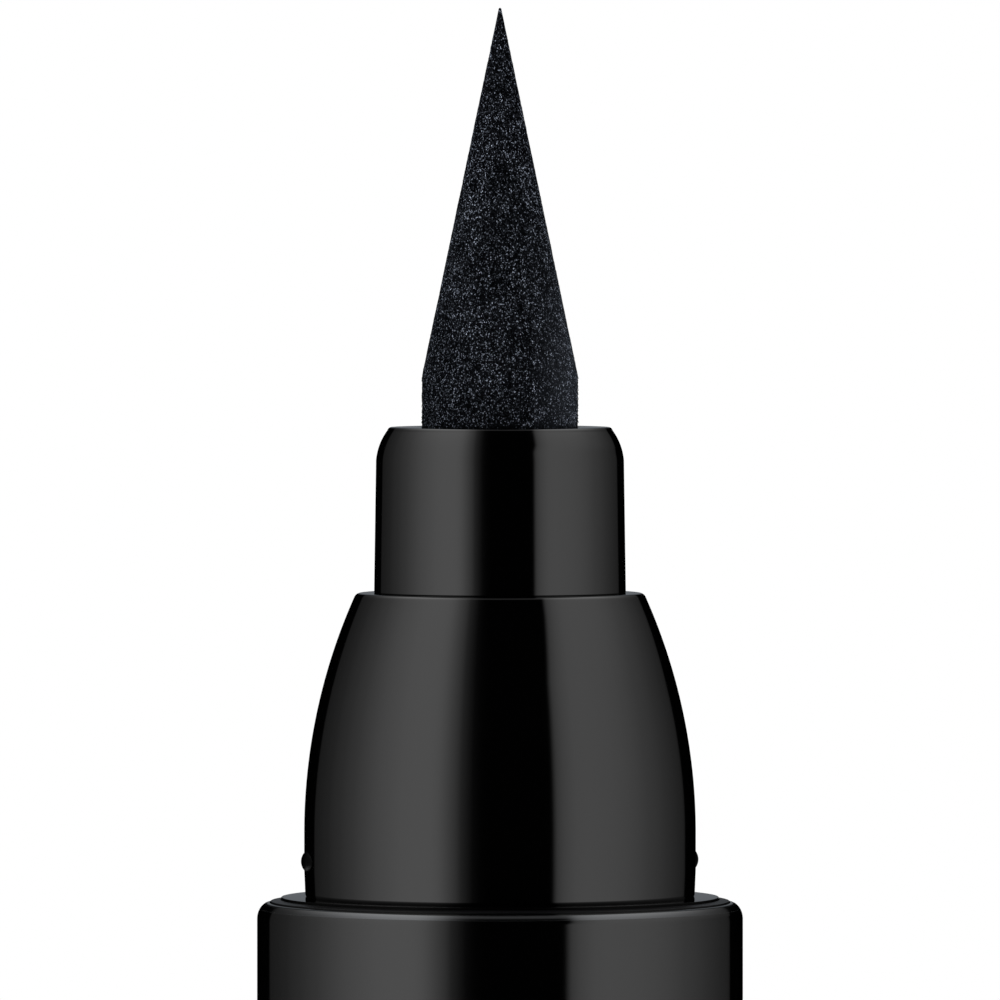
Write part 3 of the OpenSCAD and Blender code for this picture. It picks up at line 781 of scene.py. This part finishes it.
def make_tail():
    work = bmesh.new()
    plug_r = in_tank_r - rib_proud
    edge_z = spigot_end_z + spigot_edge_r
    spigot_r = dome_r - foot_relief
    bore_r = spigot_r + foot_relief - spigot_wall
    floor_z = plug_top_z - plug_floor_h
    outline = [(bore_r, spigot_end_z)]
    outline += arc((spigot_r - spigot_edge_r, edge_z), spigot_edge_r, -RIGHT_ANGLE, 0, 10)
    outline += [
        (spigot_r, tail_z), (barrel_r - edge_bevel, tail_z), (barrel_r, tail_z + edge_bevel),
        (barrel_r, barrel_z), (plug_r, barrel_z)
    ]
    outline += ribs(plug_ribs, in_tank_r, barrel_z, plug_top_z)
    outline += [(plug_r, plug_top_z - lead_in), (plug_r - lead_in, plug_top_z), (0, plug_top_z)]
    outline += [(0, floor_z), (bore_r, floor_z)]
    spun(work, eased(outline, fine_edge_r))
    snap_nubs(work, tail_z - nub_up)
    tail = finish_mesh(work, "tail_stopper", black_plastic, "pen")
    tail.data.materials.append(satin_black)
    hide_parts("tail_plug")


# Cap

def make_cap():
    work = bmesh.new()
    rim_r = sleeve_wall / 2
    outline = [(0, 0)]
    outline += arc((barrel_r - cap_edge_r, cap_edge_r), cap_edge_r, -RIGHT_ANGLE, 0, 12)
    outline += arc((barrel_r - rim_r, cap_len - rim_r), rim_r, 0, 2 * RIGHT_ANGLE, 16)
    outline += [(sleeve_bore_r, cap_end_t), (0, cap_end_t)]
    spun(work, eased(outline, fine_edge_r))
    shell = finish_mesh(work, "cap_sleeve", black_lacquer, "cap")
    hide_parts("cap_shell")

    work = bmesh.new()
    groove_z = tail_z - nub_up - snap_groove_h / 2
    groove_top_z = groove_z + snap_groove_h
    groove_r = mouth_r + snap_groove
    mouth_z = cap_len - sleeve_wall / 2
    mouth_bevel = (liner_r - mouth_r) * mouth_bevel_share
    ledge_top_z = ledge_z + ledge_h
    outline = [
        (guide_r, liner_low_z), (liner_r, liner_low_z), (liner_r, mouth_z),
        (mouth_r + mouth_bevel, mouth_z), (mouth_r, mouth_z - mouth_bevel),
        (mouth_r, groove_top_z), (groove_r, groove_top_z - snap_groove), (groove_r, groove_z + snap_groove),
        (mouth_r, groove_z), (mouth_r, ledge_top_z), (ledge_r + lead_in, ledge_top_z),
        (ledge_r, ledge_top_z - lead_in), (ledge_r, ledge_z), (guide_r, ledge_z)
    ]
    spun(work, eased(outline, fine_edge_r))
    liner = finish_mesh(work, "cap_lining", tank_plastic, "cap")
    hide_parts("cap_liner")


# Coil spring: a round wire wound on, with its ends turned down to the seats

def make_spring():
    work = bmesh.new()
    wire_r = wire_t / 2
    coil_r = spring_d / 2 - wire_r
    pitch = (spring_high_z - spring_low_z - 2 * wire_t) / spring_turns
    per_turn = 64
    ring = bmesh.ops.create_circle(work, cap_ends=False, segments=16, radius=wire_r * MM)["verts"]
    climb = math.atan2(pitch, FULL * coil_r)
    place = (
        Matrix.Translation((coil_r * MM, 0, (spring_low_z + wire_t) * MM))
        @ Matrix.Rotation(climb, 4, "X") @ Matrix.Rotation(QUARTER, 4, "X")
    )
    bmesh.ops.transform(work, matrix=place, verts=ring)
    ring_edges = work.edges[:]

    def turned_end(edges, up):
        """Carry the wire's end through a quarter bend to the seat."""
        for _ in range(bend_steps):
            grown = bmesh.ops.extrude_edge_only(work, edges=edges)["geom"]
            verts = [g for g in grown if isinstance(g, bmesh.types.BMVert)]
            edges = [g for g in grown if isinstance(g, bmesh.types.BMEdge)]
            middle = sum((v.co for v in verts), Vector()) / len(verts)
            outward = Vector((middle.x, middle.y, 0)).normalized()
            bmesh.ops.rotate(
                work, verts=verts, cent=middle, matrix=Matrix.Rotation(-QUARTER / bend_steps, 3, outward)
            )
            bmesh.ops.translate(work, verts=verts, vec=(0, 0, up * wire_t * MM / bend_steps))
        bmesh.ops.contextual_create(work, geom=edges)

    wound = bmesh.ops.spin(
        work, geom=ring[:] + ring_edges, cent=(0, 0, 0), axis=(0, 0, 1), dvec=(0, 0, pitch * MM / per_turn),
        angle=FULL * spring_turns, steps=per_turn * spring_turns, use_merge=False
    )["geom_last"]
    turned_end([g for g in wound if isinstance(g, bmesh.types.BMEdge)], 1)
    turned_end(ring_edges, -1)
    spring = finish_mesh(work, "cap_coil", wire_steel, "cap")
    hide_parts("cap_spring")
    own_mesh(spring)


make_nib()
make_tufts()
make_holder()
make_front()
make_tank()
make_barrel()
make_tail()
make_cap()
make_spring()


# Floor, light and camera

floor_r = 0.36
floor_glow = 0.35


def make_floor():
    work = bmesh.new()
    bmesh.ops.create_circle(work, cap_ends=True, segments=96, radius=floor_r)
    mesh = bpy.data.meshes.new("floor")
    work.to_mesh(mesh)
    work.free()
    floor = bpy.data.objects.new("floor", mesh)
    bpy.context.scene.collection.objects.link(floor)
    material = bpy.data.materials.new("pale_floor")
    material.use_nodes = True
    tree = material.node_tree
    shader = tree.nodes["Principled BSDF"]
    shader.inputs["Base Color"].default_value = (0.8, 0.8, 0.8, 1)
    shader.inputs["Roughness"].default_value = 0.9
    path = node(tree, "LightPath").outputs
    seen = sums(tree, "MAXIMUM", path["Is Camera Ray"], path["Is Transmission Ray"])
    seen = sums(tree, "MAXIMUM", seen, path["Is Glossy Ray"])
    glow = sums(tree, "MULTIPLY", seen, floor_glow)
    glow = node(tree, "Emission", inputs={"Color": (1, 1, 1, 1), "Strength": glow})
    both = node(tree, "AddShader", inputs={0: shader.outputs[0], 1: glow.outputs[0]})
    tree.links.new(both.outputs[0], tree.nodes["Material Output"].inputs["Surface"])
    mesh.materials.append(material)


def make_light():
    """Two tall soft lights, left and right of a dark gap. The pale background is seen by camera and
    transmission rays alone."""
    world = bpy.data.worlds.new("studio")
    bpy.context.scene.world = world
    world.use_nodes = True
    tree = world.node_tree
    tree.nodes.clear()
    way = node(tree, "TexCoord").outputs["Generated"]
    way = node(tree, "VectorMath", operation="NORMALIZE", inputs={0: way}).outputs["Vector"]
    # A fixed line of sight from the front, and the slope that mirrors each part of the room along it
    sight = (0, 0.9987, -0.0506)
    slope = node(tree, "VectorMath", operation="SUBTRACT", inputs={0: way, 1: sight}).outputs["Vector"]
    slope = node(tree, "VectorMath", operation="NORMALIZE", inputs={0: slope}).outputs["Vector"]
    parts = node(tree, "SeparateXYZ", inputs={0: slope})
    around = sums(tree, "ARCTAN2", parts.outputs["X"], sums(tree, "MULTIPLY", parts.outputs["Y"], -1))
    around = sums(tree, "MULTIPLY", around, 2 * 180 / math.pi)
    tilt = sums(tree, "MULTIPLY", sums(tree, "ARCSINE", parts.outputs["Z"]), 180 / math.pi)
    shift = ranged(tree, tilt, 16, 23, 0, 2.5)

    def falloff(angle, stops):
        """Brightness over an angle of 0 to 180 degrees."""
        ramp = node(tree, "ValToRGB", inputs={"Fac": sums(tree, "DIVIDE", angle, 180)})
        ramp.color_ramp.interpolation = "LINEAR"
        elements = ramp.color_ramp.elements
        while len(elements) < len(stops):
            elements.new(0.5)
        for element, (place, level) in zip(elements, stops):
            element.position = place / 180
            element.color = (level / 2, level / 2, level / 2, 1)
        return ramp.outputs["Color"]

    left = falloff(sums(tree, "MULTIPLY", around, -1), [
        (0, 0), (8, 0), (12, 0.01), (16, 0.05), (19, 0.15), (23, 0.33), (26, 0.66), (30, 1.0), (34, 1.35),
        (37, 1.58), (41, 1.72), (45, 1.745), (53, 1.72), (61, 1.63), (69, 1.43), (78, 1.19), (87, 0.88),
        (97, 0.57), (109, 0.32), (122, 0.15), (131, 0.09), (138, 0.06), (141, 0.05), (143, 0), (180, 0)
    ])
    right = falloff(sums(tree, "SUBTRACT", around, shift), [
        (0, 0), (29.5, 0), (31, 0.06), (34, 0.82), (38, 1.13), (42, 1.3), (46, 1.43), (53, 1.455), (61, 1.4),
        (70, 1.3), (79, 1.14), (88, 0.92), (98, 0.64), (110, 0.4), (116, 0.29), (123, 0.2), (130, 0.13),
        (137, 0.085), (140, 0.06), (142, 0), (180, 0)
    ])
    # The ramps hold half of each level, and slopes that face up past the tall lights see little of them
    level = sums(tree, "ADD", left, right)
    level = sums(tree, "MULTIPLY", level, ranged(tree, tilt, 57, 64, 2, 0.2))
    # More light from high in front for the rounded edges, and a faint one from above for flat rings
    facing = ranged(tree, sums(tree, "ABSOLUTE", around), 70, 120, 1, 0)
    high = sums(tree, "SUBTRACT", ranged(tree, tilt, 36, 44, 0, 0.3), ranged(tree, tilt, 55, 70, 0, 0.3))
    level = sums(tree, "ADD", level, sums(tree, "MULTIPLY", high, facing))
    level = sums(tree, "ADD", level, ranged(tree, tilt, 62, 70, 0, 0.17))
    # Light from low behind
    where = node(tree, "SeparateXYZ", inputs={0: way})
    below = ranged(tree, where.outputs["Z"], -0.3, -0.42, 0, 0.9)
    behind = ranged(tree, where.outputs["Y"], 0.2, 0.7, 0, 1)
    level = sums(tree, "ADD", level, sums(tree, "MULTIPLY", below, behind))
    cool = tinted(tree, ranged(tree, tilt, 58, 66, 0, 1), (1, 1, 1), (0.9, 0.97, 1.05))
    strength = node(tree, "Background", inputs={"Color": cool, "Strength": level})
    white = node(tree, "Background", inputs={"Color": (1, 1, 1, 1), "Strength": 1})
    path = node(tree, "LightPath").outputs
    seen = sums(tree, "MAXIMUM", path["Is Camera Ray"], path["Is Transmission Ray"])
    mixed = node(tree, "MixShader", inputs={0: seen, 1: strength.outputs[0], 2: white.outputs[0]})
    output = node(tree, "OutputWorld")
    tree.links.new(mixed.outputs[0], output.inputs["Surface"])


def make_camera():
    """As the photograph: from a long way off, looking down on the shoulder by about 3 degrees."""
    away, camera_z, aim_z = 300, 139.3, 132.21
    pixels_per_mm, picture_w, sensor_w = 48.61, 1000, 36
    data = bpy.data.cameras.new("camera")
    camera = bpy.data.objects.new("camera", data)
    bpy.context.scene.collection.objects.link(camera)
    place = Vector((0, -away, camera_z)) * MM
    aim = Vector((0, 0, aim_z)) * MM
    camera.location = place
    camera.rotation_euler = (aim - place).to_track_quat("-Z", "Y").to_euler()
    data.sensor_width = sensor_w
    data.lens = (aim - place).length / MM * pixels_per_mm * sensor_w / picture_w
    data.clip_start = 0.01
    data.clip_end = 20
    bpy.context.scene.camera = camera


make_floor()
make_light()
make_camera()
bpy.context.scene.view_settings.view_transform = "Standard"
